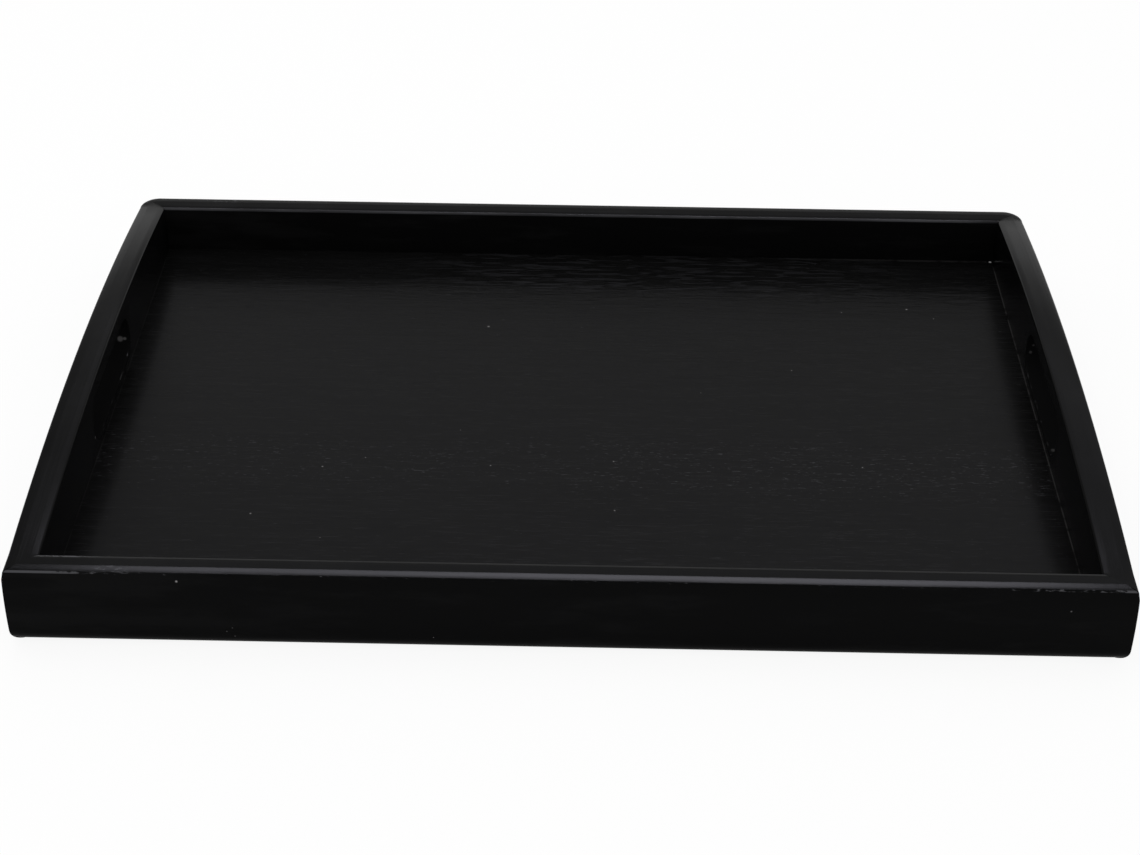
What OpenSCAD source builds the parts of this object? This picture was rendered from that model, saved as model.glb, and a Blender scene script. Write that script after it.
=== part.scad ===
// Tea tray: four lacquered rails, mitred and tongued at the corners, round a veneered base panel
// that sits in a groove. The two end boards rise to a low arch and each has a finger slot.
// The origin is the middle of the tray on the surface that it stands on.
// X runs along the long side, Y runs to the back and Z runs up.

/* [Tray] */
// Outside length, over both end boards
tray_length = 450; // [320:5:600]
// Outside depth, over the front and back rails
tray_depth = 300; // [220:5:420]
// Height of the rim along the long rails and at the corners
rim_height = 37.5; // [34:0.5:44]
// How far the end boards rise above the rim in the middle
arch_rise = 8.8; // [7:0.1:16]

/* [Rails and end boards] */
// Thickness of the front and back rails where they are widest
rail_thickness = 12; // [11:0.5:18]
// Thickness of the end boards where they are widest
end_thickness = 14; // [13:0.5:20]
// Radius of the bow of the outer faces, seen in section
face_radius = 440; // [300:10:600]
// Height at which the outer faces stand out furthest
widest_height = 8; // [7.5:0.5:13]
// Radius of the outer bottom edge
bottom_radius = 7.5; // [3:0.5:7.5]
// Height by which that rounded edge is planed off flat underneath
foot_cut = 0.9; // [0.5:0.1:1.5]
// Width of the low crown along the outer side of the rim
crown_width = 3.5; // [2:0.1:4.4]
// Radius of that crown
crown_radius = 12.5; // [8:0.5:16]
// Radius of the outer top edge
rim_radius = 0.5; // [0.3:0.1:1]
// Radius of the inner top edge
lip_radius = 1; // [0.5:0.25:1.5]

/* [Finger slots] */
// Length of each finger slot
slot_length = 78; // [60:1:110]
// Height of each finger slot
slot_height = 20; // [16:0.5:22]
// Height of the slot's lower edge above the tray floor
slot_sill = 3.6; // [2.5:0.1:5]
// Width of the eased edge round each mouth of the slot
slot_easing = 1.5; // [0.5:0.25:2]

/* [Base panel] */
// Height of the tray floor above the surface that the tray stands on
floor_height = 13.8; // [11:0.1:15]
// Thickness of the panel's plywood core
core_thickness = 3.8; // [2.5:0.1:5]
// Thickness of the veneer on each face of the core
veneer_thickness = 0.6; // [0.4:0.1:1]
// Depth of the groove that holds the panel
groove_depth = 5; // [3:0.25:5.5]

/* [Corner joints] */
// Thickness of the loose tongue across each mitre
tongue_thickness = 3; // [2:0.25:3.5]
// Width of the tongue, half of it in each piece
tongue_width = 7; // [5:0.5:7.5]
// Height of the tongue's lower end above the bottom of the rails
tongue_foot = 5; // [4:0.5:8]
// Wood left above the tongue, so that it doesn't show
tongue_cover = 6.5; // [5:0.5:10]

/* [Fits] */
// Room round the panel's edge in its groove
panel_gap = 0.5; // [0.2:0.1:1]
// Room above the panel in its groove
groove_play = 0.15; // [0.05:0.05:0.3]
// Glue line round each tongue
glue_gap = 0.1; // [0.05:0.05:0.2]

/* [Hidden] */

// How far every cut runs past the faces that it opens
overrun = 1;
// How far past the mitre's two ends its cutting line runs, in mitre lengths
mitre_overrun_share = 0.3;
// How far the round ends of a slot's mouth stand proud of its straight sides
mouth_lap = 0.02;
// Where the tongue lies on the mitre, from the outer corner to the inner one
tongue_place_share = 0.49;
// Lean of the easing that leads from the outer face into the rim, in degrees
rim_lean = 12;
// Counts of straight steps in the drawn arcs, and facets of the round cuts
bottom_steps = 8;
face_steps = 14;
crown_steps = 4;
rim_steps = 3;
lip_steps = 3;
slot_facets = 96;
arch_facets = 720;

lacquer = [0.045, 0.045, 0.05];
floor_lacquer = [0.075, 0.075, 0.08];
bare_wood = [0.76, 0.62, 0.44];

arch_top = rim_height + arch_rise;
half_chord = tray_depth / 2 - rail_thickness;
arch_radius = (half_chord * half_chord + arch_rise * arch_rise) / (2 * arch_rise);

panel_thickness = core_thickness + 2 * veneer_thickness;
panel_bottom = floor_height - panel_thickness;
panel_length = tray_length - 2 * end_thickness + 2 * (groove_depth - panel_gap);
panel_depth = tray_depth - 2 * rail_thickness + 2 * (groove_depth - panel_gap);

slot_radius = slot_height / 2;
slot_straight = slot_length - slot_height;
slot_centre = floor_height + slot_sill + slot_radius;

mitre_angle = atan2(rail_thickness, end_thickness);
tongue_height = rim_height - tongue_cover - tongue_foot;

// How far the outer face lies inside its widest line, at a height z
function face_inset(z) = face_radius - sqrt(pow(face_radius, 2) - pow(z - widest_height, 2));
// How far the outer face leans in at a height z, in degrees
function face_lean(z) = asin((z - widest_height) / face_radius);
// Points of an arc round a centre, from one angle to another
function arc(centre, radius, from, to, steps) =
    [for (i = [0 : steps]) centre + radius * [cos(from + (to - from) * i / steps), sin(from + (to - from) * i / steps)]];
// A point on the front left mitre, in plan: 0 is the outer corner and 1 the inner one
function mitre_point(share) =
    [share * end_thickness - tray_length / 2, share * rail_thickness - tray_depth / 2];

// Outline of a rail below its rim, as distance in from the widest line and height.
// An arc turns the bottom edge, cut off flat underneath, and runs smoothly into the bowed outer face.
function body_outline(thickness) =
    let (
        bottom_height = bottom_radius - foot_cut,
        bottom_centre = [
            face_radius - sqrt(pow(face_radius - bottom_radius, 2) - pow(widest_height - bottom_height, 2)),
            bottom_height
        ],
        foot_turn = acos(bottom_height / bottom_radius),
        meeting = atan2(widest_height - bottom_height, face_radius - bottom_centre[0]),
        face_centre = [face_radius, widest_height],
        top = arch_top + overrun
    )
    concat(
        [[thickness + overrun, 0]],
        arc(bottom_centre, bottom_radius, 270 - foot_turn, 180 + meeting, bottom_steps),
        arc(face_centre, face_radius, 180 + meeting, 180 - face_lean(top), face_steps),
        [[thickness + overrun, top]]
    );

// Outline of the rim at a given height. Its top is flat on the inside and falls in a low
// crown to a small round edge, which leads into the bowed face along a short lean.
function rim_outline(thickness, height) =
    let (
        edge = face_inset(arch_top - rim_radius) + rim_radius,
        crown_turn = asin(crown_width / (crown_radius - rim_radius)),
        crown_centre = [edge + crown_width, height - crown_radius],
        edge_centre = [edge, height - crown_radius + (crown_radius - rim_radius) * cos(crown_turn)],
        foot_inset = edge - rim_radius * cos(rim_lean),
        foot_height = edge_centre[1] + rim_radius * sin(rim_lean),
        lean_drop = (foot_inset + overrun) / tan(rim_lean)
    )
    concat(
        [[thickness, 0], [thickness, height - lip_radius]],
        arc([thickness - lip_radius, height - lip_radius], lip_radius, 0, 90, lip_steps),
        arc(crown_centre, crown_radius, 90, 90 + crown_turn, crown_steps),
        arc(edge_centre, rim_radius, 90 + crown_turn, 180 - rim_lean, rim_steps),
        [[-overrun, foot_height - lean_drop], [-overrun, 0]]
    );

// Places a piece made for the front left corner at another corner
module at_corner(right, back) {
    mirror([right ? 1 : 0, 0, 0])
        mirror([0, back ? 1 : 0, 0])
            children();
}

// The loose tongue at the front left corner, larger all round by a gap
module tongue_blank(gap) {
    centre = mitre_point(tongue_place_share);
    translate([centre[0], centre[1], tongue_foot - gap])
        rotate([0, 0, mitre_angle])
            translate([-tongue_thickness / 2 - gap, -tongue_width / 2 - gap, 0])
                cube([tongue_thickness + 2 * gap, tongue_width + 2 * gap, tongue_height + 2 * gap]);
}

// Where the panel enters the rail whose inner face is at y = 0, cut along X
module panel_groove(length) {
    translate([-length / 2, -groove_depth, panel_bottom])
        cube([length, groove_depth + overrun, panel_thickness + groove_play]);
}

// Front rail: an extruded section, mitred at both ends
module long_rail() {
    difference() {
        intersection() {
            translate([-tray_length / 2, -tray_depth / 2, 0])
                rotate([90, 0, 90])
                    linear_extrude(tray_length)
                        intersection() {
                            polygon(body_outline(rail_thickness));
                            polygon(rim_outline(rail_thickness, rim_height));
                        }
            front_mitres();
        }
        translate([0, rail_thickness - tray_depth / 2, 0])
            panel_groove(tray_length);
        for (right = [false, true])
            at_corner(right, false) tongue_blank(glue_gap);
    }
}

// Plan of the front rail between its mitres, as a tall block
module front_mitres() {
    outer = mitre_point(-mitre_overrun_share);
    inner = mitre_point(1 + mitre_overrun_share);
    translate([0, 0, -overrun])
        linear_extrude(arch_top + 2 * overrun)
            polygon([outer, inner, [-inner[0], inner[1]], [-outer[0], outer[1]]]);
}

// Plan of the left end board between its mitres, as a tall block
module left_mitres() {
    outer = mitre_point(-mitre_overrun_share);
    inner = mitre_point(1 + mitre_overrun_share);
    translate([0, 0, -overrun])
        linear_extrude(arch_top + 2 * overrun)
            polygon([outer, [outer[0], -outer[1]], [inner[0], -inner[1]], inner]);
}

// Left end board: the long rail's section with its rim lifted to an arch
module end_board() {
    difference() {
        intersection() {
            along_left(tray_depth) polygon(body_outline(end_thickness));
            union() {
                along_left(tray_depth) polygon(rim_outline(end_thickness, rim_height));
                arched_rim();
            }
            left_mitres();
        }
        translate([end_thickness - tray_length / 2, 0, 0])
            rotate([0, 0, -90])
                panel_groove(tray_depth);
        finger_slot();
        for (back = [false, true])
            at_corner(false, back) tongue_blank(glue_gap);
    }
}

// Runs a section along the left side, its first axis pointing into the tray
module along_left(length) {
    translate([-tray_length / 2, length / 2, 0])
        rotate([90, 0, 0])
            linear_extrude(length)
                children();
}

// The rim's section turned about the arch's centre, far below the tray
module arched_rim() {
    translate([-tray_length / 2, 0, arch_top - arch_radius])
        rotate([0, 90, 0])
            rotate_extrude($fn = arch_facets)
                polygon([for (p = rim_outline(end_thickness, arch_radius)) [p[1], p[0]]]);
}

// Finger slot through the left end board, with an eased edge at both mouths
module finger_slot() {
    outer_face = face_inset(slot_centre) - tray_length / 2;
    inner_face = end_thickness - tray_length / 2;
    translate([-tray_length / 2 - overrun, 0, slot_centre])
        rotate([90, 0, 90])
            linear_extrude(end_thickness + 2 * overrun) {
                square([slot_straight, slot_height], center = true);
                for (side = [-1, 1])
                    translate([side * slot_straight / 2, 0])
                        circle(slot_radius, $fn = slot_facets);
            }
    translate([inner_face, 0, slot_centre])
        slot_mouth();
    translate([outer_face, 0, slot_centre])
        rotate([0, face_lean(slot_centre), 0])
            rotate([0, 0, 180])
                slot_mouth();
}

// Eased mouth of a slot in a face at x = 0 that looks along X. It opens at 45 degrees and
// starts narrower than the slot, so that it meets the slot's wall in a clean edge.
module slot_mouth() {
    narrow = slot_radius - overrun;
    wide = slot_radius + slot_easing + overrun;
    depth = wide - narrow;
    side_narrow = narrow - mouth_lap;
    side_wide = wide - mouth_lap;
    translate([-slot_easing - overrun, 0, 0]) {
        for (side = [-1, 1])
            translate([0, side * slot_straight / 2, 0])
                rotate([0, 90, 0])
                    cylinder(h = depth, r1 = narrow, r2 = wide, $fn = slot_facets);
        rotate([90, 0, 0])
            linear_extrude(slot_straight, center = true)
                polygon([
                    [0, -side_narrow], [depth, -side_wide],
                    [depth, side_wide], [0, side_narrow]
                ]);
    }
}

// One flat layer of the base panel, from a given height
module panel_layer(bottom, thickness) {
    translate([-panel_length / 2, -panel_depth / 2, bottom])
        cube([panel_length, panel_depth, thickness]);
}

module front_rail() {
    color(lacquer) long_rail();
}

module back_rail() {
    color(lacquer) rotate([0, 0, 180]) long_rail();
}

module left_end() {
    color(lacquer) end_board();
}

module right_end() {
    color(lacquer) rotate([0, 0, 180]) end_board();
}

module base_core() {
    color(bare_wood) panel_layer(panel_bottom + veneer_thickness, core_thickness);
}

module floor_veneer() {
    color(floor_lacquer) panel_layer(floor_height - veneer_thickness, veneer_thickness);
}

module backing_veneer() {
    color(floor_lacquer) panel_layer(panel_bottom, veneer_thickness);
}

module front_left_tongue() {
    color(bare_wood) tongue_blank(0);
}

module front_right_tongue() {
    color(bare_wood) at_corner(true, false) tongue_blank(0);
}

module back_left_tongue() {
    color(bare_wood) at_corner(false, true) tongue_blank(0);
}

module back_right_tongue() {
    color(bare_wood) at_corner(true, true) tongue_blank(0);
}

front_rail();
back_rail();
left_end();
right_end();
base_core();
floor_veneer();
backing_veneer();
front_left_tongue();
front_right_tongue();
back_left_tongue();
back_right_tongue();
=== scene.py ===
"""Tea tray: the four lacquered rails, the veneered floor and the wood inside them."""
import math

import bmesh
import bpy
from bpy.props import FloatProperty, FloatVectorProperty, PointerProperty
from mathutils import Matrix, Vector


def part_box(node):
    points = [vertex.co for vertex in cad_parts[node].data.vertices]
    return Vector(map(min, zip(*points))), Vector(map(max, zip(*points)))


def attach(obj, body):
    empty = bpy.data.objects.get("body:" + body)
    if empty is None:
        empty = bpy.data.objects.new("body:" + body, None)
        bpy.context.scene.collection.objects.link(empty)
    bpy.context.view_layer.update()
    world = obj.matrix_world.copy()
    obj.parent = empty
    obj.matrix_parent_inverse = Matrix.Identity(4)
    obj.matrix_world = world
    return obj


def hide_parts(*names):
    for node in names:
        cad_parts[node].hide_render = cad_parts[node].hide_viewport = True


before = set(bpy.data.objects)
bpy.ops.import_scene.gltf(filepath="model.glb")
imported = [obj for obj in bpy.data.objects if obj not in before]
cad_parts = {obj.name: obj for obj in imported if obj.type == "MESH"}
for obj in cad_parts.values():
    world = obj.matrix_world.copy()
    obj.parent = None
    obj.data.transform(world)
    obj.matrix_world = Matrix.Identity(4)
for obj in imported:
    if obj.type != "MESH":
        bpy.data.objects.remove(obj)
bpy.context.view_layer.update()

bl_info = {
    "name": "Lacquered Tea Tray",
    "version": (1, 0, 0),
    "blender": (4, 5, 0),
    "location": "3D View > Sidebar > Tea Tray",
    "description": "Rails, end boards, floor and finishes of a black lacquered tea tray",
    "category": "Object",
}

# Corners that lie nearer than this are one, in metres: after a cut, and after a rounding.
LEAST = 1e-6
NEAR = 2e-5
# How far a cutter reaches past what it cuts.
MARGIN = 0.001
# Room between the rounded back corners and the cutter's hollow, so that no two faces coincide.
CORNER_ROOM = 0.00003
# Lean of the crown, in degrees, where its shoulder ends and at the crisp outer edge.
FRONT_CROWN = (9, 22)
PLAIN_CROWN = (2.5, 7)
# Lean of the outer face just below that edge, and the lip's turn, in degrees.
RIM_LEAN = 12
LIP_TURN = 80
# Height of the outer face that rises with the arch unchanged, below the outer edge.
RIM_BAND = 0.0022
# The corners of a board's outer face lie within this depth.
FACE_ROOM = 0.005
# Room over the floor panel in its groove.
GROOVE_PLAY = 0.00015
# Strips and rows that the rounded parts of a board are cut into.
FOOT_ROWS = FACE_ROWS = 7
CROWN_STRIPS, SHOULDER_STRIPS, FALL_STRIPS = 5, 3, 4
EDGE_STEPS, LIP_STEPS, EASING_STEPS = 4, 5, 5
ARCH_COLUMNS = 15
CORNER_SIDES, SLOT_SIDES = 128, 98
# Faces that meet at less than this angle are shaded as one, in degrees.
SMOOTH_ANGLE = 28.0
# Lowest and highest corners of four nodes of the frame.
FRONT_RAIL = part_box("front_rail")
LEFT_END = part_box("left_end")
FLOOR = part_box("floor_veneer")
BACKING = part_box("backing_veneer")


def length_property(name, text, value):
    """A length in metres that a user may change."""
    return FloatProperty(
        name=name, description=text, default=value, min=0.0, unit="LENGTH", subtype="DISTANCE", precision=5)


def colour_property(name, text, value):
    """A plain colour that a user may change."""
    return FloatVectorProperty(
        name=name, description=text, default=value, size=3, min=0.0, max=1.0, subtype="COLOR")


def share_property(name, text, value):
    """A share from 0 to 1 that a user may change."""
    return FloatProperty(name=name, description=text, default=value, min=0.0, max=1.0)


def strength_property(name, text, value):
    """A light's strength that a user may change."""
    return FloatProperty(name=name, description=text, default=value, min=0.0)


class TraySizes(bpy.types.PropertyGroup):
    """Sizes of the boards. Lengths and heights that the frame fixes come from its boxes."""
    tray_length: length_property(
        "Tray length", "Outside length over both end boards", FRONT_RAIL[1][0] - FRONT_RAIL[0][0])
    tray_depth: length_property(
        "Tray depth", "Outside depth over both long rails", LEFT_END[1][1] - LEFT_END[0][1])
    rim_height: length_property("Rim height", "Height of the long rails", FRONT_RAIL[1][2])
    arch_top: length_property("Arch top", "Height of the end boards in the middle", LEFT_END[1][2])
    rail_thickness: length_property(
        "Rail thickness", "Thickness of the long rails", FRONT_RAIL[1][1] - FRONT_RAIL[0][1])
    end_thickness: length_property(
        "End board thickness", "Thickness of the end boards", LEFT_END[1][0] - LEFT_END[0][0])
    face_radius: length_property("Bow radius", "Radius of the bow of the outer faces", 0.440)
    widest_height: length_property(
        "Widest height", "Height at which the outer faces stand out furthest", 0.008)
    bottom_radius: length_property("Bottom radius", "Radius of the outer bottom edge", 0.0075)
    foot_cut: length_property("Foot cut", "Height by which that edge is planed off flat underneath", 0.0007)
    corner_reach: length_property(
        "Corner reach", "Radius of the widest line round the two back corners", 0.0105)
    edge_inset: length_property(
        "Edge inset", "How far the outer top edge lies inside the widest line", 0.00161)
    crown_width: length_property(
        "Crown width", "Width of the low crown along the outer side of the rim", 0.0040)
    shoulder_radius: length_property(
        "Shoulder radius", "Radius of the turn from the flat top into the crown", 0.003)
    rim_radius: length_property("Rim radius", "Radius of the outer top edge", 0.0011)
    inner_width: length_property(
        "Inner fall width", "Width over which the top falls towards the lip", 0.0034)
    inner_drop: length_property("Inner fall", "How far the top falls by the lip", 0.00060)
    lip_radius: length_property("Lip radius", "Radius of the inner top edge", 0.0010)
    groove_depth: length_property("Groove depth", "Depth of the groove that holds the floor", 0.005)
    mitre_proud: length_property(
        "Mitre height", "How far the end boards stand over the rails at the inner corners", 0.00005)
    mitre_fall: length_property("Mitre fall", "How far the end boards' tops fall across the mitre", 0.00030)
    slot_length: length_property("Slot length", "Length of each finger slot", 0.078)
    slot_height: length_property("Slot height", "Height of each finger slot", 0.020)
    slot_sill: length_property("Slot sill", "Height of the slot's lower edge above the floor", 0.0036)
    slot_easing: length_property("Slot easing", "Radius of the eased edge round each mouth", 0.0009)
    glue_gap: length_property("Glue gap", "Room round each loose tongue", 0.0001)


class TrayFinishes(bpy.types.PropertyGroup):
    """Colours and gloss of the lacquer, and colours of the bare wood."""
    rim_black: colour_property("Rim lacquer", "Black of the lacquered rails", (0.0021, 0.0021, 0.0022))
    slot_black: colour_property(
        "Slot lacquer", "Black of the dull lacquer inside the finger slots", (0.0040, 0.0040, 0.0041))
    floor_black: colour_property("Floor lacquer", "Black of the lacquered floor", (0.0030, 0.0030, 0.0030))
    # The back rail's own black and gloss, paler and less glossy than the other rails', paint that rail's
    # different shading.
    back_shading_black: colour_property(
        "Back rail lacquer", "Black of the lacquer on the back rail, thinner than elsewhere",
        (0.0036, 0.0036, 0.0037))
    back_shading_gloss: share_property(
        "Back rail gloss", "Strength of the mirroring there, which is duller too", 0.016)
    gloss: share_property("Gloss", "How much the lacquer mirrors", 0.027)
    rim_roughness: share_property("Rim roughness", "Roughness of the rails' lacquer", 0.145)
    floor_roughness: share_property("Floor roughness", "Roughness of the floor's lacquer", 0.18)
    # This colour is also used for painted glints in the finger slots and the painted sheen of the floor's
    # bead.
    dust_and_glints: colour_property("Dust", "Pale dust and bare specks in the lacquer", (0.30, 0.29, 0.29))
    # This grey is also used for painted highlights on the rails' edges and the back rail's lip, and for
    # painted glints on the floor.
    wear_and_glints: colour_property(
        "Worn lacquer", "Grey of thin and chipped lacquer along the edges", (0.062, 0.062, 0.067))
    early_wood: colour_property("Pale grain", "Pale bands of the bare wood", (0.60, 0.43, 0.25))
    late_wood: colour_property("Dark grain", "Dark bands of the bare wood", (0.36, 0.23, 0.12))


class TrayStudio(bpy.types.PropertyGroup):
    """The camera's place and the strength of the light."""
    camera_place: FloatVectorProperty(
        name="Camera place", description="Where the camera stands", default=(0.008736, -0.764964, 0.557073),
        size=3, unit="LENGTH", subtype="TRANSLATION")
    camera_turn: FloatVectorProperty(
        name="Camera turn", description="How the camera is turned",
        default=tuple(math.radians(a) for a in (54.137312, -0.417152, 1.120749)), size=3, unit="ROTATION",
        subtype="EULER")
    lens: FloatProperty(
        name="Lens", description="Focal length in millimetres on a 36 mm frame", default=64.6431, min=20.0,
        max=200.0)
    surround: share_property("Surround", "Strength of the even light from all round", 0.78)
    key_power: strength_property("Key light", "Power of the soft light over the tray, in watts", 5.0)
    back_radiance: strength_property(
        "Back light", "Brightness of the large panel behind the tray that its top mirrors", 1.12)
    back_tint: colour_property("Back tint", "Colour of that panel", (0.94, 0.94, 1.0))
    lip_radiance: strength_property("Lip light", "Brightness of the low panel that the lips mirror", 1.30)
    sheen_radiance: strength_property(
        "Sheen light", "Brightness of the long panel that the rim mirrors", 25.0)
    sheen_boost: strength_property("Sheen boost", "What a second panel adds to its middle", 9.0)
    sheen_width: length_property("Sheen width", "Width of both panels", 0.40)
    sheen_tint: colour_property("Sheen tint", "Colour of both panels", (0.90, 0.89, 1.0))


# Working on a piece.

def start_block(name, low, high):
    """Adds a block between two corners and opens it for editing with nothing selected."""
    bpy.ops.object.select_all(action="DESELECT")
    low, high = Vector(low), Vector(high)
    bpy.ops.mesh.primitive_cube_add(size=1.0, location=(low + high) / 2, scale=high - low)
    return open_piece(bpy.context.object, name)


def open_piece(piece, name):
    """Names a new primitive, puts its size and place into its mesh and opens it for editing."""
    piece.name = piece.data.name = name
    bpy.ops.object.transform_apply(location=True, rotation=True, scale=True)
    bpy.ops.object.mode_set(mode="EDIT")
    bpy.ops.mesh.select_all(action="DESELECT")
    return piece


def only(piece):
    """Makes one object the selected and active one."""
    bpy.ops.object.select_all(action="DESELECT")
    piece.select_set(True)
    bpy.context.view_layer.objects.active = piece


def turned(piece, turn, location=(0, 0, 0)):
    """Turns a finished piece about the upright, puts it at its place and makes both part of its mesh."""
    only(piece)
    piece.location = location
    piece.rotation_euler = (0, 0, turn)
    bpy.ops.object.transform_apply(location=True, rotation=True, scale=True)


def pick(piece, kind, test):
    """Selects the corners, edges or faces that pass a test, and nothing else. Returns how many."""
    bpy.ops.mesh.select_mode(type={"verts": "VERT", "edges": "EDGE", "faces": "FACE"}[kind])
    bpy.ops.mesh.select_all(action="DESELECT")
    mesh = bmesh.from_edit_mesh(piece.data)
    found = [part for part in getattr(mesh, kind) if test(part)]
    for part in found:
        part.select_set(True)
    mesh.select_flush_mode()
    bmesh.update_edit_mesh(piece.data, loop_triangles=False, destructive=False)
    return len(found)


def near(value, wanted, room=NEAR):
    """Whether a coordinate is where it is wanted."""
    return abs(value - wanted) < room


def middle(edge):
    """The middle of an edge."""
    return (edge.verts[0].co + edge.verts[1].co) / 2


def cut(point, normal, **options):
    """Cuts what is selected along a plane."""
    bpy.ops.mesh.bisect(plane_co=point, plane_no=normal, threshold=LEAST, **options)


def move(*offset):
    """Moves what is selected."""
    bpy.ops.transform.translate(value=offset)


def carve(piece, cutter):
    """Takes the cutter's shape out of a piece, and the cutter away."""
    only(piece)
    carving = piece.modifiers.new("carving", "BOOLEAN")
    carving.operation = "DIFFERENCE"
    carving.solver = "EXACT"
    carving.object = cutter
    bpy.ops.object.modifier_apply(modifier=carving.name)
    bpy.data.objects.remove(cutter)


def smooth_over(piece):
    """Shades a piece smooth but for its sharp edges, its large faces leading."""
    only(piece)
    bpy.ops.object.shade_smooth_by_angle(angle=math.radians(SMOOTH_ANGLE))
    leading = piece.modifiers.new("leading faces", "WEIGHTED_NORMAL")
    leading.mode = "FACE_AREA"
    leading.weight = 60
    leading.keep_sharp = True
    bpy.ops.object.modifier_apply(modifier=leading.name)


# The boards.

class Section:
    """The cross-section that all four boards share, measured in from the widest line."""

    def __init__(self, sizes, crown):
        self.sizes = sizes
        self.shoulder_lean, self.edge_lean = (math.radians(angle) for angle in crown)
        self.crown_start = sizes.edge_inset + sizes.crown_width
        self.shoulder_run = sizes.shoulder_radius * math.sin(self.shoulder_lean)
        turn = math.sin(self.edge_lean) - math.sin(self.shoulder_lean)
        self.crown_radius = (sizes.crown_width - self.shoulder_run) / turn
        self.edge_height = sizes.rim_height - self.crown(sizes.edge_inset)
        self.outline = []

    def bow(self, height):
        """How far the bowed outer face lies in at a height, and its round foot below that."""
        s = self.sizes
        under = max(0.0, s.bottom_radius - s.foot_cut - height)
        foot = s.bottom_radius - math.sqrt(s.bottom_radius ** 2 - under ** 2)
        return foot + s.face_radius - math.sqrt(s.face_radius ** 2 - (height - s.widest_height) ** 2)

    def face(self, height, lift=0.0):
        """The outer face's inset at a height, below a rim that is lifted by so much."""
        drop = max(0.0, self.edge_height + lift - height)
        return max(self.bow(height), self.sizes.edge_inset - drop * math.tan(math.radians(RIM_LEAN)))

    def crown(self, inset):
        """How far the crown lies below the flat top at an inset."""
        run = max(0.0, self.crown_start - inset)
        shoulder = self.sizes.shoulder_radius
        if run <= self.shoulder_run:
            return shoulder - math.sqrt(shoulder * shoulder - run * run)
        lean = math.asin(math.sin(self.shoulder_lean) + (run - self.shoulder_run) / self.crown_radius)
        start = math.cos(self.shoulder_lean)
        return shoulder * (1 - start) + self.crown_radius * (start - math.cos(lean))

    def note_outline(self, board):
        """Notes the pairs of inset and height up a board's outer side, from the foot to the flat top."""
        verts = bmesh.from_edit_mesh(board.data).verts
        end = min(v.co.x for v in verts)
        found = {
            (round(v.co.z, 6), round(v.co.y, 6)) for v in verts
            if near(v.co.x, end) and v.co.y < self.crown_start + LEAST}
        self.outline = [(inset, height) for height, inset in sorted(found)]

    def crown_insets(self):
        """Where the crown is cut into strips, from the outer edge to its start."""
        turn = self.crown_start - self.shoulder_run
        edge, wide = self.sizes.edge_inset, turn - self.sizes.edge_inset
        crown = [edge + wide * k / CROWN_STRIPS for k in range(CROWN_STRIPS)]
        return crown + [turn + self.shoulder_run * k / SHOULDER_STRIPS for k in range(SHOULDER_STRIPS + 1)]


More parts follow.
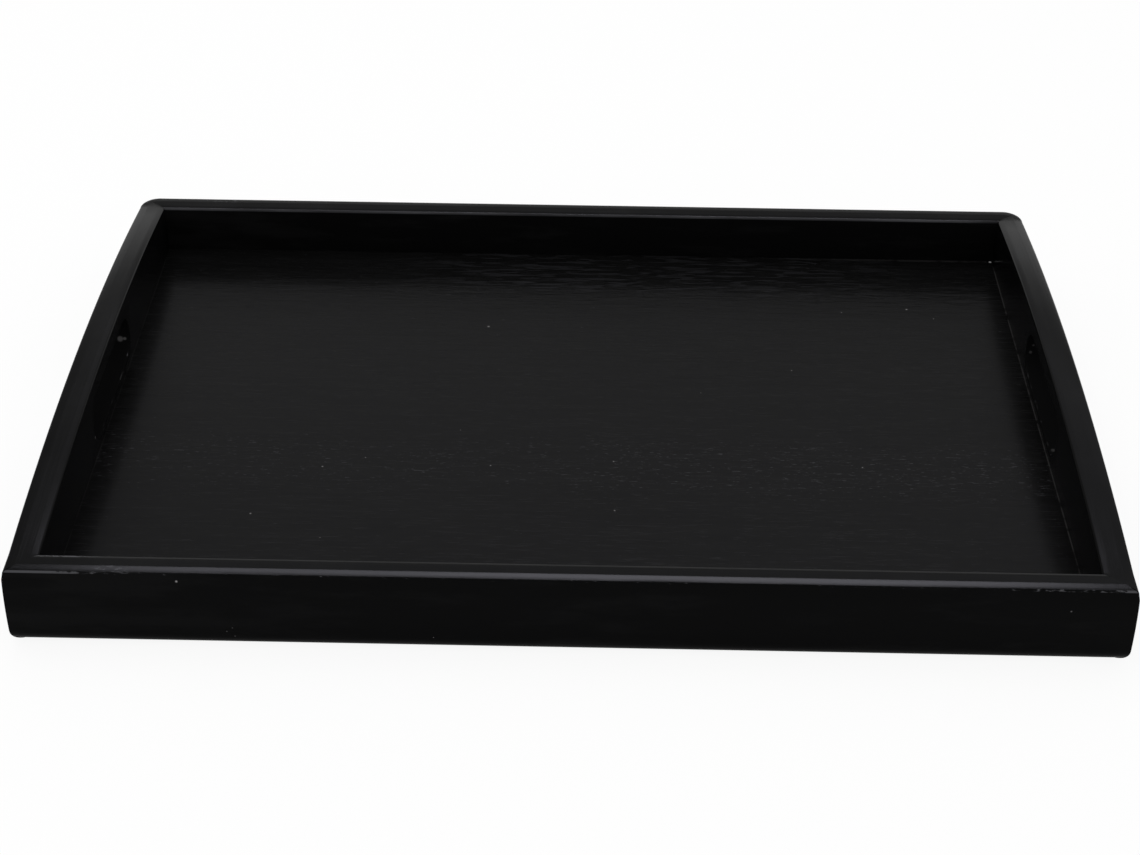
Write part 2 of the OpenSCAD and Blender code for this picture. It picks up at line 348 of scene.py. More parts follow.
def shaped_board(name, length, thickness, sizes, crown, columns=()):
    """A board of the shared section: its outer face looks along -Y at y = 0, its foot is at z = 0
    and it runs along X about x = 0. Both ends are still square."""
    section = Section(sizes, crown)
    top = sizes.rim_height
    board = start_block(name, (-length / 2, 0, 0), (length / 2, thickness, top))
    edge_height = section.edge_height
    round_foot, widest = sizes.bottom_radius - sizes.foot_cut, sizes.widest_height
    # Heights of the outer face's rows. The foot's lie closer together towards the ground.
    rows = [round_foot * (k / FOOT_ROWS) ** 1.5 for k in range(1, FOOT_ROWS + 1)]
    rows += [widest + (edge_height - widest) * k / FACE_ROWS for k in range(FACE_ROWS)]

    # The outer face bows between its rows, and its upper rows lean in to the rim.
    for height in rows:
        pick(board, "faces", lambda f: f.normal.y < -0.9)
        cut((0, 0, height), (0, 0, 1))
    for height in [0.0] + rows:
        pick(board, "verts", lambda v: near(v.co.y, 0) and near(v.co.z, height))
        move(0, section.face(height), 0)
    pick(board, "verts", lambda v: near(v.co.y, 0) and near(v.co.z, top))
    move(0, sizes.edge_inset, 0)

    # The outer part of the top falls in a low crown.
    strips = section.crown_insets()
    for inset in strips[1:]:
        pick(board, "faces", lambda f: f.normal.z > 0.9)
        cut((0, inset, 0), (0, 1, 0))
    for inset in strips[:-1]:
        pick(board, "verts", lambda v: near(v.co.z, top) and near(v.co.y, inset))
        move(0, 0, -section.crown(inset))

    # Towards the lip the top falls a little too.
    falls = [thickness - sizes.inner_width * k / FALL_STRIPS for k in range(FALL_STRIPS + 1)]
    for inset in falls[1:]:
        pick(board, "faces", lambda f: f.normal.z > 0.999)
        cut((0, inset, 0), (0, 1, 0))
    for k, inset in enumerate(falls[:-1]):
        pick(board, "verts", lambda v: v.co.z > top - LEAST and near(v.co.y, inset))
        move(0, 0, -sizes.inner_drop * (1 - k / FALL_STRIPS) ** 2)

    # Two long edges are rounded: the crisp outer one and the lip.
    def is_long(edge):
        return abs(edge.verts[0].co.x - edge.verts[1].co.x) > length / 2

    rest = math.radians(90 - RIM_LEAN) - section.edge_lean
    for inset, height, radius, turn, steps in (
        (sizes.edge_inset, edge_height, sizes.rim_radius, rest, EDGE_STEPS),
        (thickness, top - sizes.inner_drop, sizes.lip_radius, math.radians(LIP_TURN), LIP_STEPS),
    ):
        wanted = Vector((0, inset, height))
        if not pick(board, "edges", lambda e: is_long(e) and (middle(e) - wanted).yz.length < NEAR):
            raise RuntimeError(f"{name}: no long edge at {inset}, {height}")
        bpy.ops.mesh.bevel(
            offset=radius * math.tan(turn / 2), offset_type="OFFSET", segments=steps, profile=0.5,
            affect="EDGES")
    bpy.ops.mesh.select_all(action="SELECT")
    bpy.ops.mesh.remove_doubles(threshold=NEAR)

    # The groove that holds the floor panel is pushed into the inner face.
    low, high = BACKING[0][2], FLOOR[1][2] + GROOVE_PLAY
    for height in (low, high):
        pick(board, "faces", lambda f: f.normal.y > 0.99)
        cut((0, 0, height), (0, 0, 1))
    pick(board, "faces", lambda f: f.normal.y > 0.99 and low < f.calc_center_median().z < high)
    bpy.ops.mesh.extrude_region_move(TRANSFORM_OT_translate={"value": (0, -sizes.groove_depth, 0)})

    section.note_outline(board)
    for place in columns:
        bpy.ops.mesh.select_all(action="SELECT")
        cut((place, 0, 0), (1, 0, 0))
    return board, section


def mitre_ends(board, length, thickness, run):
    """Cuts both ends off along the mitres. The run is the other board's thickness."""
    for side in (-1, 1):
        bpy.ops.mesh.select_mode(type="FACE")
        bpy.ops.mesh.select_all(action="SELECT")
        keep = Vector((-side * thickness, -run, 0)).normalized()
        cut((side * length / 2, 0, 0), keep, use_fill=True, clear_inner=True)


def corner_cutter(outline, corner, sizes):
    """What lies outside a rounded back corner: a tower over the corner, less the section turned round
    an upright line that stands in from both sides by the corner's reach."""
    reach, side = sizes.corner_reach, math.copysign(1, corner[0])
    centre = Vector((corner[0] - side * reach, corner[1] - reach, 0))
    radii = [reach - inset + CORNER_ROOM for inset, _ in outline]
    bpy.ops.object.select_all(action="DESELECT")
    bpy.ops.mesh.primitive_cylinder_add(
        vertices=CORNER_SIDES, radius=radii[0], depth=outline[0][1] + MARGIN,
        location=centre + Vector((0, 0, (outline[0][1] - MARGIN) / 2)))
    post = open_piece(bpy.context.object, "corner_post")
    pick(post, "faces", lambda f: f.normal.z > 0.9)
    for k in range(1, len(outline)):
        rise = outline[k][1] - outline[k - 1][1]
        bpy.ops.mesh.extrude_region_move(TRANSFORM_OT_translate={"value": (0, 0, rise)})
        ratio = radii[k] / radii[k - 1]
        bpy.ops.transform.resize(value=(ratio, ratio, 1), center_override=centre)
    over = sizes.arch_top - outline[-1][1] + MARGIN
    bpy.ops.mesh.extrude_region_move(TRANSFORM_OT_translate={"value": (0, 0, over)})
    bpy.ops.object.mode_set(mode="OBJECT")
    low = centre + Vector((min(0, side * (reach + MARGIN)), 0, -MARGIN / 2))
    high = centre + Vector((max(0, side * (reach + MARGIN)), reach + MARGIN, sizes.arch_top))
    tower = start_block("corner_tower", low, high)
    bpy.ops.object.mode_set(mode="OBJECT")
    carve(tower, post)
    return tower


def round_back_corner(board, section, side, sizes):
    """Rounds a board's back corner, the left one for side -1 and the right one for side 1."""
    corner = (side * sizes.tray_length / 2, sizes.tray_depth / 2)
    carve(board, corner_cutter(section.outline, corner, sizes))


def tongue_slots(board, names):
    """Cuts the blind slots for the loose tongues, a glue line wider all round."""
    for name in names:
        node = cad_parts[name]
        cutter = node.copy()
        cutter.data = node.data.copy()
        cutter.parent = None
        bpy.context.collection.objects.link(cutter)
        only(cutter)
        bpy.ops.object.mode_set(mode="EDIT")
        bpy.ops.mesh.select_all(action="SELECT")
        bpy.ops.mesh.remove_doubles(threshold=LEAST)
        bpy.ops.transform.shrink_fatten(value=-bpy.context.scene.tray_sizes.glue_gap, use_even_offset=True)
        bpy.ops.object.mode_set(mode="OBJECT")
        carve(board, cutter)


def place_board(board, node, finish):
    """Lets a finished board stand for its node of the frame, and gives it its lacquer."""
    smooth_over(board)
    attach(board, "root")
    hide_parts(node)
    give(board, finish)


def turned_copy(board, name, turn):
    """A copy with its own mesh, turned about the upright through the tray's middle."""
    twin = board.copy()
    twin.data = board.data.copy()
    twin.name = twin.data.name = name
    bpy.context.collection.objects.link(twin)
    turned(twin, turn)
    return twin


class TRAY_OT_long_rails(bpy.types.Operator):
    """Model the front and back rails"""
    bl_idname = "tray.long_rails"
    bl_label = "Long Rails"

    def execute(self, context):
        sizes, finishes = context.scene.tray_sizes, context.scene.tray_finishes
        for run, crown, turn in (("front", FRONT_CROWN, 0.0), ("back", PLAIN_CROWN, math.pi)):
            rail, section = shaped_board(
                run + "_rail_lacquered", sizes.tray_length, sizes.rail_thickness, sizes, crown)
            mitre_ends(rail, sizes.tray_length, sizes.rail_thickness, sizes.end_thickness)
            bpy.ops.object.mode_set(mode="OBJECT")
            # Both stand at the front first, and the back one is then turned about the tray's middle.
            turned(rail, 0.0, (0, -sizes.tray_depth / 2, 0))
            turned(rail, turn)
            if run == "back":
                for side in (-1, 1):
                    round_back_corner(rail, section, side, sizes)
            tongue_slots(rail, (run + "_left_tongue", run + "_right_tongue"))
            place_board(rail, run + "_rail", rim_lacquer(finishes, run, sizes))
        return {"FINISHED"}


class TRAY_OT_end_boards(bpy.types.Operator):
    """Model both end boards, with their arched tops and finger slots"""
    bl_idname = "tray.end_boards"
    bl_label = "End Boards"

    def execute(self, context):
        sizes, finishes = context.scene.tray_sizes, context.scene.tray_finishes
        chord = sizes.tray_depth / 2 - sizes.rail_thickness
        columns = [chord * k / ARCH_COLUMNS for k in range(-ARCH_COLUMNS, ARCH_COLUMNS + 1)]
        board, section = shaped_board(
            "left_end_lacquered", sizes.tray_depth, sizes.end_thickness, sizes, PLAIN_CROWN, columns)
        raise_arch(board, section, columns, sizes)
        mitre_ends(board, sizes.tray_depth, sizes.end_thickness, sizes.rail_thickness)
        bpy.ops.object.mode_set(mode="OBJECT")
        carve(board, slot_cutter(section, sizes))
        turned(board, -math.pi / 2, (-sizes.tray_length / 2, 0, 0))
        right = turned_copy(board, "right_end_lacquered", math.pi)
        for piece, end, side in ((board, "left", -1), (right, "right", 1)):
            round_back_corner(piece, section, side, sizes)
            tongue_slots(piece, (f"front_{end}_tongue", f"back_{end}_tongue"))
            place_board(piece, end + "_end", rim_lacquer(finishes, "end", sizes))
        return {"FINISHED"}


def raise_arch(board, section, columns, sizes):
    """Lifts the rim of a board to its arch, column by column, and draws the outer face after it."""
    chord = columns[-1]
    proud = sizes.mitre_proud
    rise = sizes.arch_top - sizes.rim_height - proud
    radius = (chord * chord + rise * rise) / (2 * rise)
    foot = FLOOR[1][2] + sizes.slot_sill
    fixed = section.edge_height - RIM_BAND
    verts = bmesh.from_edit_mesh(board.data).verts
    levels = sorted({round(v.co.z, 6) for v in verts if foot < v.co.z < fixed})
    for end in (-1, 1):
        pick(board, "verts", lambda v: v.co.x * end > chord + MARGIN and v.co.z >= fixed)
        move(0, 0, proud - sizes.mitre_fall)
    for place in columns:
        lift = proud + math.sqrt(radius * radius - place * place) - (radius - rise)
        pick(board, "verts", lambda v: near(v.co.x, place) and v.co.z >= fixed)
        move(0, 0, lift)
        for level in reversed(levels):
            share = (level - foot) / (fixed - foot)
            height = level + lift * share
            draw_in = section.face(height, lift) - section.face(level)
            pick(board, "verts", lambda v: (
                near(v.co.x, place) and near(v.co.z, level) and v.co.y < FACE_ROOM))
            move(0, draw_in, lift * share)


def slot_cutter(section, sizes):
    """The finger slot as a solid: a long hole whose two mouths open in a small quarter round."""
    radius = sizes.slot_height / 2
    centre = FLOOR[1][2] + sizes.slot_sill + radius
    half = (sizes.slot_length - sizes.slot_height) / 2
    outer = section.bow(centre)
    easing = sizes.slot_easing
    bpy.ops.object.select_all(action="DESELECT")
    bpy.ops.mesh.primitive_cylinder_add(
        vertices=SLOT_SIDES, radius=radius, depth=sizes.end_thickness - outer - 2 * easing,
        location=(0, (outer + sizes.end_thickness) / 2, centre), rotation=(math.pi / 2, 0, 0))
    cutter = open_piece(bpy.context.object, "slot_cutter")
    turns = [math.pi / 2 * k / EASING_STEPS for k in range(EASING_STEPS + 1)]
    for side in (-1, 1):
        face = outer if side < 0 else sizes.end_thickness
        pick(cutter, "faces", lambda f: f.normal.y * side > 0.9)
        width = radius
        for last, turn in zip(turns, turns[1:]):
            wide = radius + easing * (1 - math.cos(turn))
            ahead = easing * (math.sin(turn) - math.sin(last))
            bpy.ops.mesh.extrude_region_move(TRANSFORM_OT_translate={"value": (0, side * ahead, 0)})
            place = Vector((0, face - side * easing * (1 - math.sin(turn)), centre))
            bpy.ops.transform.resize(value=(wide / width, 1, wide / width), center_override=place)
            width = wide
        bpy.ops.mesh.extrude_region_move(TRANSFORM_OT_translate={"value": (0, side * 2 * MARGIN, 0)})
    for side in (-1, 1):
        pick(cutter, "verts", lambda v: v.co.x * side > 0)
        move(side * half, 0, 0)
    # The outer mouth leans with the bowed face.
    lean = (centre - sizes.widest_height) / sizes.face_radius
    pick(cutter, "verts", lambda v: v.co.y < outer + easing + LEAST)
    mesh = bmesh.from_edit_mesh(cutter.data)
    for height in sorted({round(v.co.z, 7) for v in mesh.verts}):
        pick(cutter, "verts", lambda v: v.co.y < outer + easing - LEAST and near(v.co.z, height, room=2e-7))
        move(0, (height - centre) * lean, 0)
    bpy.ops.object.mode_set(mode="OBJECT")
    return cutter


# Finishes.

class Value:
    """One value in a node tree. Arithmetic on it adds Math nodes."""

    def __init__(self, nodes, socket):
        self.nodes = nodes
        self.socket = socket

    def math(self, operation, *others, clamp=False):
        """A Math node on this value and others."""
        settings = {"operation": operation, "use_clamp": clamp}
        return self.nodes.node("ShaderNodeMath", settings, dict(enumerate((self, *others))))

    def __add__(self, other):
        return self.math("ADD", other)

    __radd__ = __add__

    def __mul__(self, other):
        return self.math("MULTIPLY", other)

    __rmul__ = __mul__

    def __sub__(self, other):
        return self.math("SUBTRACT", other)

    def __rsub__(self, other):
        return self.nodes.node("ShaderNodeMath", {"operation": "SUBTRACT"}, {0: other, 1: self})

    def __pow__(self, other):
        return self.math("POWER", other)

    def __abs__(self):
        return self.math("ABSOLUTE")

    def most(self, other):
        """The greater of two values."""
        return self.math("MAXIMUM", other)

    def at_most(self, limit):
        """The value, but not more than a limit."""
        return self.math("MINIMUM", limit)

    def other(self, name):
        """Another output of the same node."""
        return Value(self.nodes, self.socket.node.outputs[name])

    def above(self, start, end):
        """0 below start and 1 above end, with a soft step between. Reversed when start is the greater."""
        return self.nodes.node(
            "ShaderNodeMapRange", {"interpolation_type": "SMOOTHSTEP", "clamp": True},
            {"Value": self, "From Min": start, "From Max": end, "To Min": 0.0, "To Max": 1.0})


class Nodes:
    """A node tree that starts empty and gets all its nodes from one method."""

    def __init__(self, owner):
        owner.use_nodes = True
        self.tree = owner.node_tree
        self.tree.nodes.clear()

    def node(self, kind, settings, sockets, output=0):
        """Adds a node, with its settings first and then its sockets' values and links."""
        node = self.tree.nodes.new(kind)
        for key, value in settings.items():
            setattr(node, key, value)
        for key, value in sockets.items():
            if isinstance(value, Value):
                self.tree.links.new(value.socket, node.inputs[key])
            else:
                node.inputs[key].default_value = value
        return Value(self, node.outputs[output]) if node.outputs else None

    def seen_white(self, eye, gloss):
        """How far a ray from the eye, or one mirrored or bent towards it, meets plain white."""
        path = self.node("ShaderNodeLightPath", {}, {}, "Is Camera Ray")
        mirrored = path.other("Is Glossy Ray").most(path.other("Is Transmission Ray"))
        return (path * eye).most(mirrored * gloss)


class Finish(Nodes):
    """A material on the piece's own coordinates, with one shader."""

    def __init__(self, name):
        self.material = bpy.data.materials.new(name)
        super().__init__(self.material)
        self.place = self.node("ShaderNodeTexCoord", {}, {}, "Object")

    def axes(self):
        """The three coordinates of a point on the piece, in millimetres."""
        first = self.node("ShaderNodeSeparateXYZ", {}, {0: self.place})
        return first * 1000.0, first.other("Y") * 1000.0, first.other("Z") * 1000.0

    def stretched(self, along, across, up):
        """The piece's coordinates with a unit of so many millimetres along each axis."""
        scale = (1000 / along, 1000 / across, 1000 / up)
        return self.node(
            "ShaderNodeMapping", {"vector_type": "POINT"}, {"Vector": self.place, "Scale": scale})

    def noise(self, size, detail=2.0, roughness=0.5, distortion=0.0):
        """Noise whose grains have a size in millimetres along each axis."""
        return self.node("ShaderNodeTexNoise", {"noise_dimensions": "3D"}, {
            "Vector": self.stretched(*size), "Scale": 1.0,
            "Detail": detail, "Roughness": roughness, "Distortion": distortion})

    def specks(self, size, chance, radius):
        """Small round spots scattered in the cells of a grid, in only some of the cells."""
        grid = {"Vector": self.stretched(size, size, size), "Scale": 1.0}
        cells = self.node("ShaderNodeTexVoronoi", {"feature": "F1"}, grid, "Distance")
        lot = self.node("ShaderNodeSeparateColor", {}, {0: cells.other("Color")})
        return cells.above(radius, radius * 0.5) * lot.above(1.0 - chance, 1.0 - chance + 0.002)

    def spots(self, places):
        """Round marks at given places, each with a radius, all in millimetres."""
        marks = 0.0
        for *place, radius in places:
            ends = {0: self.place, 1: [v / 1000 for v in place]}
            away = self.node("ShaderNodeVectorMath", {"operation": "DISTANCE"}, ends, "Value")
            marks = marks + away.above(radius / 1000, radius / 2500)
        return marks

    def blend(self, share, first, second):
        """Mixes two colours."""
        return self.node("ShaderNodeMix", {"data_type": "RGBA"}, {0: share, 6: first, 7: second}, 2)

    def bump(self, height, distance=1.0):
        """Relief whose height is in millimetres, times a distance."""
        return self.node(
            "ShaderNodeBump", {}, {"Height": height, "Distance": distance / 1000, "Strength": 1.0})

    def finish(self, dull=None, **sockets):
        """Ends the material with its shader. Dull holds a mask and the colour of a matt coat inside it."""
        names = {key.replace("_", " "): value for key, value in sockets.items()}
        shader = self.node("ShaderNodeBsdfPrincipled", {}, {**names, "IOR": 1.5})
        if dull:
            matt = self.node("ShaderNodeBsdfDiffuse", {}, {"Color": rgba(dull[1])})
            shader = self.node("ShaderNodeMixShader", {}, {0: dull[0], 1: shader, 2: matt})
        self.node("ShaderNodeOutputMaterial", {}, {"Surface": shader})
        return self.material


def rgba(colour, times=1.0):
    """An opaque colour, made lighter or darker."""
    return (*(c * times for c in colour), 1.0)


def give(piece, material):
    """Makes a material a piece's only one."""
    piece.data.materials.clear()
    piece.data.materials.append(material)


# Specks of dust and bare wood that stand out, and painted glints in the finger slots, each with its place
# and its radius in millimetres.
RIM_SPOTS = (
    (-154.9, -148.6, 33.4, 0.8), (198.3, -149.7, 26.9, 0.5),
    (-133.9, -150.0, 6.1, 0.45), (-137.0, -150.0, 8.6, 0.4), (-134.6, -150.0, 10.5, 0.36),
)
# Painted glints in the finger slots.
SLOT_GLINTS = (
    (-215.4, 38.3, 23.5, 2.0), (-213.2, 38.4, 23.6, 1.1), (-211.0, -29.7, 37.4, 0.9),
    (-211.0, -39.9, 23.0, 0.9), (213.1, 38.7, 24.4, 1.1), (214.0, 39.0, 28.1, 0.9),
    (213.1, -29.3, 17.5, 1.5),
)
FLOOR_SPOTS = (
    (-137.3, -80.2, 14, 0.55), (-110.5, -46.0, 14, 0.5), (18.3, -73.7, 14, 0.5), (-43.2, 69.1, 14, 0.7),
    (162.0, 90.8, 14, 0.6), (-36.5, -43.1, 14, 0.45), (127.8, -39.8, 14, 0.45), (101.6, 35.5, 14, 0.45),
    (129.6, 87.1, 14, 0.4), (174.3, 82.7, 14, 0.4), (58.2, 15.8, 14, 0.35), (-105.7, -95.6, 14, 0.35),
    (-51.4, -16.9, 14, 0.35), (-92.2, -38.9, 14, 0.4), (17.8, -38.6, 14, 0.45),
)
CORNER_SPOT = (209.9, 137.2, 14, 0.9)


def rim_lacquer(finishes, run, sizes):
    """Black satin lacquer over close wood, its grain along the board. The run is front, back or end."""
    f = Finish("rim_lacquer_" + run)
    x, y, z = f.axes()
    long = run != "end"
    black, gloss = finishes.rim_black, finishes.gloss
    # The back rail's paler, less glossy lacquer paints its different shading.
    if run == "back":
        black, gloss = finishes.back_shading_black, finishes.back_shading_gloss
    along, across = (90.0, 1.3) if long else (1.3, 90.0)
    grain = f.noise((along, across, 1.3), detail=3.0, roughness=0.6)
    wave = f.noise((along * 0.35, across * 4, 5.0), detail=2.0)
    cloud = f.noise((46, 46, 9), detail=4.0, roughness=0.6)
    peel = f.noise((2.6, 2.6, 2.6), detail=1.0)
    marks = f.specks(6, 0.012, 0.05)
    thin = (cloud + (0 - x).above(90, 210) * 0.14 - 0.08).above(0.42, 0.66)
    colour = f.blend(thin, rgba(black), rgba(black, 1.8))
    if long:
        # Thin and chipped lacquer on the rails, with painted highlights along their edges and on the back
        # rail's lip.
        wear_and_glints = rail_wear_and_highlights(f, (x, y, z), wave, sizes)
        colour = f.blend(wear_and_glints, colour, rgba(finishes.wear_and_glints))
        # The specks low on the face are the dimmest.
        marks = marks.most(f.spots(RIM_SPOTS) * (z.above(25, 33) * 0.8 + 0.15))
        dull = None
    else:
        slot, painted_glints = slot_marks(f, (x, y, z), sizes)
        # Painted glints in the slots; the right slot's are the dimmer ones.
        colour = f.blend(painted_glints * (x.above(0, 1) * -0.6 + 1.0), colour, rgba(finishes.dust_and_glints, 0.22))
        dull = (slot, finishes.slot_black)
    colour = f.blend(marks.at_most(1.0), colour, rgba(finishes.dust_and_glints))
    rough = finishes.rim_roughness + grain * 0.05 + cloud * 0.04
    height = grain * (0.022 if long else 0.012) + wave * 0.05 + peel * 0.010
    return f.finish(
        dull, Base_Color=colour, Roughness=rough, Normal=f.bump(height), Specular_IOR_Level=gloss)


def rail_wear_and_highlights(f, axes, wave, sizes):
    """Where a long rail's lacquer is rubbed thin and chipped, and where highlights are painted along its
    edges and the back rail's lip, from 0 to 1.
    """
    x, y, z = axes
    end_x, top_z = sizes.tray_length * 500, sizes.rim_height * 1000
    lip_y = (sizes.tray_depth / 2 - sizes.rail_thickness) * 1000
    from_left, from_right = x + end_x, end_x - x
    crumbs = f.noise((2.4, 0.9, 0.5), detail=2.0, roughness=0.7)
    # The crisp outer edge: a painted highlight, unbroken at the corners and broken into crumbs further in,
    # where the lacquer is chipped as well.
    edge_y = (sizes.tray_depth / 2 - sizes.edge_inset) * 1000 - 0.15
    off = abs(abs(y) - edge_y)
    corner = from_left.above(49, 11).most(from_right.above(65, 25) * 0.30).most(from_right.above(8, 4) * 0.9)
    edge = off.above(0.55, 0.35) * z.above(top_z - 1.55, top_z - 1.4)
    wear_and_glints = edge * (crumbs + corner * 0.42 - 0.03).above(0.62, 0.70)
    # The foot at both corners.
    scratches = f.noise((1.5, 30, 1.0), detail=2.0)
    foot = z.above(5.0, 2.0) * abs(x).above(end_x - 15, end_x - 4) * scratches.above(0.56, 0.66)
    # The front rail's top towards the left corner: its lip, and scuffs across its highlight.
    top = z.above(top_z - 1.3, top_z - 1.0)
    lip = abs(y + (lip_y + 1.0)).above(0.9, 0.5) * top * from_left.above(41, 27) * crumbs.above(0.44, 0.54)
    scuffs = top * off.above(4.2, 3.2) * abs(from_left - 45).above(9, 5) * crumbs.above(0.54, 0.62)
    # A painted highlight on the back rail's lip, all along.
    patches = (wave * 1.2 - 0.1).math("MINIMUM", 1.0, clamp=True)
    back_lip_highlight = abs(y - (lip_y - 0.1)).above(1.2, 0.7) * z.above(top_z - 1.6, top_z - 1.1) * patches
    return wear_and_glints.most(foot * 0.6).most(lip * 0.8).most(scuffs * 0.5).most(back_lip_highlight)


def slot_marks(f, axes, sizes):
    """Where the lacquer in a finger slot is dull, with crumbs left out round its mouth, and where glints
    are painted on it. Both go from 0 to 1."""
    x, y, z = axes
    radius = sizes.slot_height * 500
    centre = (FLOOR[1][2] + sizes.slot_sill + sizes.slot_height / 2) * 1000
    half = (sizes.slot_length - sizes.slot_height) * 500
    inner_x = (sizes.tray_length / 2 - sizes.end_thickness) * 1000
    past_end = (abs(y) - half).most(0.0)
    away = (past_end * past_end + (z - centre) ** 2.0) ** 0.5
    slot = away.above(radius + 1.6, radius + 0.8)
    mouth = slot * away.above(radius - 0.1, radius + 0.1) * abs(x).above(inner_x + 2.2, inner_x + 1.2)
    crumbs = f.noise((2, 5.0, 2.0), detail=2.0, roughness=0.7)
    # Painted glints where the slots' ends and edges mirror the light.
    painted_glints = f.spots(SLOT_GLINTS).at_most(1.0)
    return slot * (1.0 - mouth * crumbs.above(0.54, 0.62)) * (1.0 - painted_glints), painted_glints


def floor_lacquer(name, finishes, sizes):
    """Lacquered open-pored veneer, its grain along the tray."""
    f = Finish(name)
    x, y, _ = f.axes()
    wall_x = (sizes.tray_length / 2 - sizes.end_thickness) * 1000
    wall_y = (sizes.tray_depth / 2 - sizes.rail_thickness) * 1000
    figure = f.noise((19, 2.6, 40), detail=3.0, roughness=0.6, distortion=0.35)
    streaks = f.noise((80, 1.1, 10), detail=3.0, roughness=0.65)
    pits = f.noise((9.0, 0.55, 3), detail=1.0).above(0.60, 0.72)
    thin = (figure * 0.5 + streaks * 0.5).above(0.40, 0.62)
    colour = f.blend(thin, rgba(finishes.floor_black), rgba(finishes.floor_black, 1.35))
    # Painted glints on fine waves of the veneer in front of the back rail.
    waves = f.noise((15, 1.5, 20), detail=1.0, distortion=0.5)
    ripple_glints = waves.above(0.54, 0.62) * y.above(98, 106) * abs(x - 40).above(150, 70)
    colour = f.blend(ripple_glints, colour, rgba(finishes.wear_and_glints, 0.15))
    # Painted glints in the pores, most of them in a band across the front half.
    dashes = f.noise((3.4, 0.6, 3), detail=2.0, roughness=0.6)
    patch = f.noise((70, 40, 40), detail=2.0)
    band = abs(y + 42).above(32, 8) * 0.08 + patch * 0.10
    pore_glints = (dashes + band).above(0.775, 0.83)
    colour = f.blend(pore_glints, colour, rgba(finishes.wear_and_glints, 0.45))
    # A bead of lacquer lies in the corner along the walls, and its sheen is painted on as a pale line,
    # brightest along the right one.
    strength = x.above(-10, 120) * 0.75 + 0.25
    side = abs(x).above(wall_x - 0.65, wall_x - 0.4) * strength * y.above(wall_y - 4, wall_y - 12)
    back = y.above(wall_y - 1.7, wall_y - 1.3) * x.above(60, 190) * x.above(wall_x - 2.5, wall_x - 3.5)
    bead_sheen = side.most(back * 0.5) * f.noise((6, 6, 6), detail=2.0).above(0.30, 0.52)
    colour = f.blend(bead_sheen, colour, rgba(finishes.dust_and_glints, 0.08))
    colour = f.blend(f.spots(FLOOR_SPOTS).at_most(0.45), colour, rgba(finishes.dust_and_glints))
    colour = f.blend(f.spots((CORNER_SPOT,)), colour, rgba((0.5, 0.5, 0.5)))
    rough = finishes.floor_roughness + figure * 0.06 + streaks * 0.04 + pits * 0.08
    # The figure stands out most at the back, and there to the right.
    relief = 0.026 + y.above(55, 110) * (x.above(-150, 0) * 0.09 + 0.07)
    height = figure * relief + streaks * 0.013 - pits * 0.014
    return f.finish(
        Base_Color=colour, Roughness=rough, Normal=f.bump(height), Specular_IOR_Level=finishes.gloss)


def bare_wood(finishes, name, turn=False):
    """Unfinished wood with its year rings drawn out along the grain."""
    f = Finish(name)
    size = (2.0, 60.0, 2.0) if turn else (60.0, 2.0, 0.9)
    rings = f.noise(size, detail=4.0, roughness=0.6, distortion=0.4)
    fibre = f.noise([s * 0.2 for s in size], detail=2.0)
    colour = f.blend(rings.above(0.38, 0.66), rgba(finishes.early_wood), rgba(finishes.late_wood))
    return f.finish(
        Base_Color=colour, Roughness=0.62 + fibre * 0.2, Normal=f.bump(fibre + rings, 0.05),
        Specular_IOR_Level=0.3)


class TRAY_OT_floor(bpy.types.Operator):
    """Lacquer the veneers on both faces of the base panel"""
    bl_idname = "tray.floor"
    bl_label = "Floor and Backing"

    def execute(self, context):
        scene = context.scene
        for node, name in (("floor_veneer", "floor_lacquer"), ("backing_veneer", "backing_lacquer")):
            give(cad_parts[node], floor_lacquer(name, scene.tray_finishes, scene.tray_sizes))
        return {"FINISHED"}


class TRAY_OT_inner_wood(bpy.types.Operator):
    """Give the core and the loose tongues their bare wood"""
    bl_idname = "tray.inner_wood"
    bl_label = "Core and Tongues"

    def execute(self, context):
        finishes = context.scene.tray_finishes
        give(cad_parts["base_core"], bare_wood(finishes, "core_plywood"))
        tongue = bare_wood(finishes, "tongue_wood", turn=True)
        for name in ("front_left_tongue", "front_right_tongue", "back_left_tongue", "back_right_tongue"):
            give(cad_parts[name], tongue)
        return {"FINISHED"}


# The studio.

# Where the panels aim: the middle of the front rail's top.
AIM_Y, AIM_Z = -0.15, 0.037
# A plane of this size is the studio's floor, and lies just under the tray.
FLOOR_SIZE = 40.0
FLOOR_DROP = 0.0002
PLAIN_WHITE = (1.0, 1.0, 1.0)


def panel_light(name, place, aim, length, width):
    """A flat light that looks at a point, its length along the tray."""
    lamp = bpy.data.lights.new(name, "AREA")
    lamp.shape = "RECTANGLE"
    lamp.size, lamp.size_y = length, width
    light = bpy.data.objects.new(name, lamp)
    light.location = place
    light.rotation_euler = (aim - Vector(place)).to_track_quat("-Z", "Y").to_euler()
    bpy.context.collection.objects.link(light)
    return light


def mirrored_light(name, middle_x, height_angle, distance, size, radiance, tint):
    """A panel that only gloss mirrors. It stands at a distance behind the front rail and at an angle of
    height, and aims at that rail."""
    turn = math.radians(height_angle)
    place = (middle_x, AIM_Y + distance * math.cos(turn), AIM_Z + distance * math.sin(turn))
    light = panel_light(name, place, Vector((middle_x / 2, AIM_Y, AIM_Z)), *size)
    light.data.energy = radiance * math.pi * size[0] * size[1]
    light.data.color = tint
    light.visible_diffuse = False


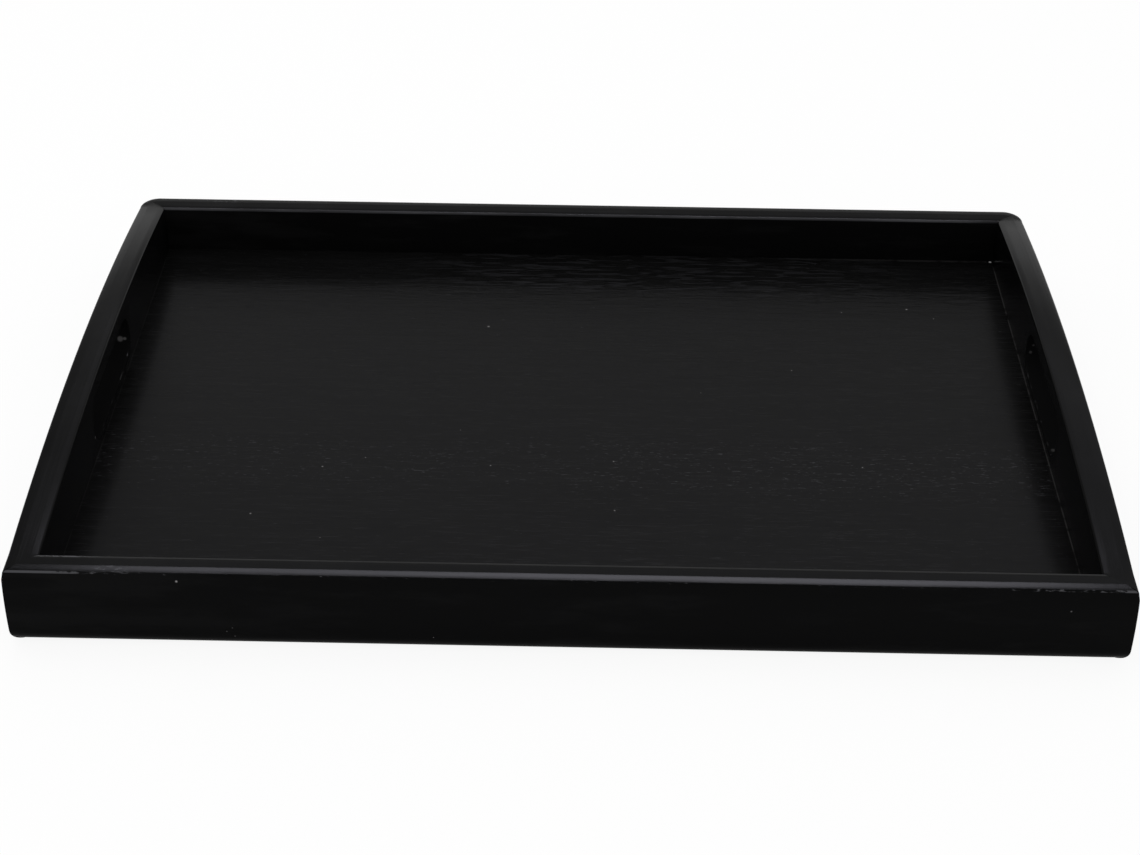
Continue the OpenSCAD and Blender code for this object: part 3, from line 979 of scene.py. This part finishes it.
def white_floor():
    """The studio's floor: white to the eye, dimmer in a mirror, and plain paper to the light."""
    bpy.ops.object.select_all(action="DESELECT")
    bpy.ops.mesh.primitive_plane_add(size=FLOOR_SIZE, location=(0, 0, -FLOOR_DROP))
    floor = bpy.context.object
    floor.name = "studio_floor"
    bpy.ops.object.transform_apply(location=True, rotation=True, scale=True)
    white = bpy.data.materials.new("studio_white")
    f = Nodes(white)
    paper = f.node("ShaderNodeBsdfDiffuse", {}, {"Color": rgba((0.96, 0.96, 0.96))})
    glow = f.node("ShaderNodeEmission", {}, {"Color": rgba(PLAIN_WHITE), "Strength": 1.0})
    both = f.node("ShaderNodeMixShader", {}, {0: f.seen_white(0.9, 0.12), 1: paper, 2: glow})
    f.node("ShaderNodeOutputMaterial", {}, {"Surface": both})
    give(floor, white)


def white_surround(level):
    """Even light of a level from all round, which the eye sees as plain white."""
    world = bpy.data.worlds.new("studio_surround")
    bpy.context.scene.world = world
    f = Nodes(world)
    strength = f.seen_white(1.0, 0.3) * (1.0 - level) + level
    sky = f.node("ShaderNodeBackground", {}, {"Color": rgba(PLAIN_WHITE), "Strength": strength})
    f.node("ShaderNodeOutputWorld", {}, {"Surface": sky})


def lights(studio):
    """One soft lamp that lights the tray, and four panels that its gloss mirrors."""
    key = panel_light("key_light", (-0.3, 0.2, 1.4), Vector((0, AIM_Y, AIM_Z)), length=0.9, width=0.9)
    key.data.energy = studio.key_power
    key.visible_glossy = False
    mirrored_light(
        "back_light", middle_x=0.66, height_angle=53.0, distance=3.2, size=(3.7, 2.46),
        radiance=studio.back_radiance, tint=studio.back_tint)
    mirrored_light(
        "lip_light", middle_x=0.4, height_angle=11.0, distance=3.1, size=(4.0, 1.1),
        radiance=studio.lip_radiance, tint=PLAIN_WHITE)
    for name, middle_x, length, radiance in (
        ("sheen_light", 0.01, 1.04, studio.sheen_radiance),
        ("sheen_boost", 0.13, 0.58, studio.sheen_boost),
    ):
        mirrored_light(
            name, middle_x, height_angle=66.6, distance=1.29, size=(length, studio.sheen_width),
            radiance=radiance, tint=studio.sheen_tint)


def photo_camera(studio):
    """The camera, where the photograph was taken from."""
    camera = bpy.data.cameras.new("photo_camera")
    camera.sensor_width = 36.0
    camera.lens = studio.lens
    camera.clip_start = 0.02
    holder = bpy.data.objects.new("photo_camera", camera)
    holder.location = studio.camera_place
    holder.rotation_euler = studio.camera_turn
    bpy.context.collection.objects.link(holder)
    bpy.context.scene.camera = holder


class TRAY_OT_studio(bpy.types.Operator):
    """Set up the floor, the light and the camera"""
    bl_idname = "tray.studio"
    bl_label = "Studio"

    def execute(self, context):
        studio = context.scene.tray_studio
        white_floor()
        white_surround(studio.surround)
        lights(studio)
        photo_camera(studio)
        context.scene.view_settings.view_transform = "Standard"
        return {"FINISHED"}


class TRAY_PT_panel(bpy.types.Panel):
    """Lists the steps that make the tray"""
    bl_idname = "TRAY_PT_panel"
    bl_label = "Tea Tray"
    bl_space_type = "VIEW_3D"
    bl_region_type = "UI"
    bl_category = "Tea Tray"

    def draw(self, context):
        for step in STEPS:
            self.layout.operator(step.bl_idname)
        for group in (context.scene.tray_sizes, context.scene.tray_finishes, context.scene.tray_studio):
            box = self.layout.box()
            for name in group.__annotations__:
                box.prop(group, name)


GROUPS = {"tray_sizes": TraySizes, "tray_finishes": TrayFinishes, "tray_studio": TrayStudio}
STEPS = (TRAY_OT_studio, TRAY_OT_long_rails, TRAY_OT_end_boards, TRAY_OT_floor, TRAY_OT_inner_wood)
CLASSES = (*GROUPS.values(), *STEPS, TRAY_PT_panel)


def register():
    """Adds the classes and their values to the program."""
    for item in CLASSES:
        bpy.utils.register_class(item)
    for name, group in GROUPS.items():
        setattr(bpy.types.Scene, name, PointerProperty(type=group))


def unregister():
    """Takes them out again."""
    for name in GROUPS:
        delattr(bpy.types.Scene, name)
    for item in reversed(CLASSES):
        bpy.utils.unregister_class(item)


def main():
    """Makes the tray and its studio, and notes the sizes."""
    register()
    bpy.ops.tray.studio()
    bpy.ops.tray.long_rails()
    bpy.ops.tray.end_boards()
    bpy.ops.tray.floor()
    bpy.ops.tray.inner_wood()


if __name__ == "__main__":
    main()
